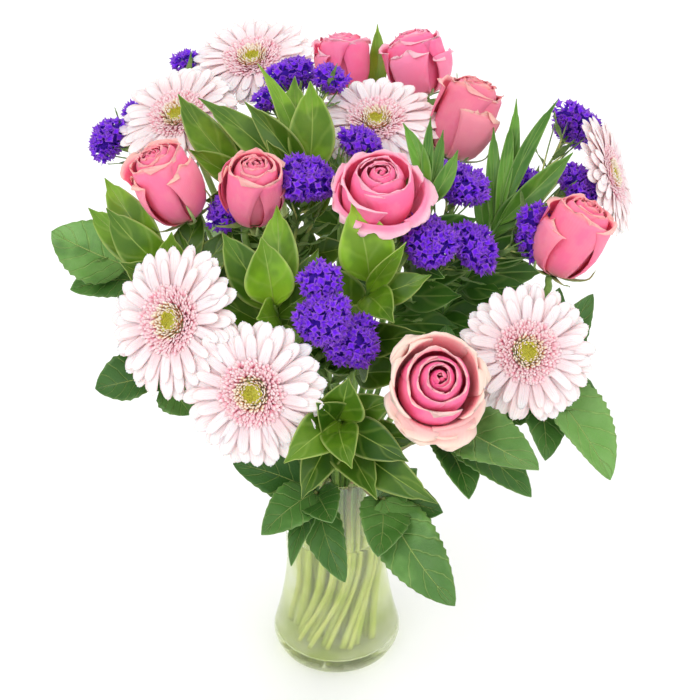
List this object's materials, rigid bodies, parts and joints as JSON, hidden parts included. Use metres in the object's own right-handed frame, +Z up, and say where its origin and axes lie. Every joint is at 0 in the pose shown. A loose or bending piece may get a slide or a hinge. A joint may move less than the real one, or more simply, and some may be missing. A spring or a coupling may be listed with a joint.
{
  "type": "flower bouquet in vase",
  "caption": "Mixed bouquet of daisy-like gerberas, roses, violet statice and broad green leaves, hand-tied and standing in water in a flared clear glass vase.",
  "frame": {"origin": "centre of the vase's foot, on the surface it stands on", "axes": "+Z up out of the vase, -Y towards the front, the side the bouquet is arranged to be seen from, +X to the right seen from the front"},
  "size_m": [0.4699, 0.4423, 0.5163],
  "materials": {
    "glass": "clear",
    "water": "clear water with a faint green tint",
    "gerbera_petal": "soft satin, palest pink petals round a pink ring and a yellow-green eye",
    "gerbera_stem": "matte, finely hairy",
    "rose_petal": "soft satin",
    "rose_stem": "satin",
    "statice_floret": "papery, matte",
    "statice_stem": "matte, winged",
    "ruscus_leaf": "waxy gloss",
    "thin_leaf": "satin",
    "salal_leaf": "leathery satin"
  },
  "bodies": {
    "root": {"gerbera_1_head": "gerbera_petal", "gerbera_1_stem": "gerbera_stem", "gerbera_2_head": "gerbera_petal", "gerbera_2_stem": "gerbera_stem", "gerbera_3_head": "gerbera_petal", "gerbera_3_stem": "gerbera_stem", "gerbera_4_head": "gerbera_petal", "gerbera_4_stem": "gerbera_stem", "gerbera_5_head": "gerbera_petal", "gerbera_5_stem": "gerbera_stem", "gerbera_6_head": "gerbera_petal", "gerbera_6_stem": "gerbera_stem", "gerbera_7_head": "gerbera_petal", "gerbera_7_stem": "gerbera_stem", "rose_1_head": "rose_petal", "rose_1_stem": "rose_stem", "rose_2_head": "rose_petal", "rose_2_stem": "rose_stem", "rose_3_head": "rose_petal", "rose_3_stem": "rose_stem", "rose_4_head": "rose_petal", "rose_4_stem": "rose_stem", "rose_5_head": "rose_petal", "rose_5_stem": "rose_stem", "rose_6_head": "rose_petal", "rose_6_stem": "rose_stem", "rose_7_head": "rose_petal", "rose_7_stem": "rose_stem", "rose_8_head": "rose_petal", "rose_8_stem": "rose_stem", "ruscus_1": "ruscus_leaf", "ruscus_2": "ruscus_leaf", "ruscus_3": "ruscus_leaf", "ruscus_4": "ruscus_leaf", "ruscus_5": "ruscus_leaf", "ruscus_6": "ruscus_leaf", "ruscus_7": "ruscus_leaf", "salal_1": "salal_leaf", "salal_2": "salal_leaf", "salal_3": "salal_leaf", "salal_4": "salal_leaf", "salal_5": "salal_leaf", "salal_6": "salal_leaf", "salal_7": "salal_leaf", "statice_1_flowers": "statice_floret", "statice_1_stem": "statice_stem", "statice_2_flowers": "statice_floret", "statice_2_stem": "statice_stem", "statice_3_flowers": "statice_floret", "statice_3_stem": "statice_stem", "statice_4_flowers": "statice_floret", "statice_4_stem": "statice_stem", "statice_5_flowers": "statice_floret", "statice_5_stem": "statice_stem", "statice_6_flowers": "statice_floret", "statice_6_stem": "statice_stem", "thin_ruscus_1": "thin_leaf", "thin_ruscus_2": "thin_leaf", "vase": "glass", "water": "water"}
  },
  "joints": []
}
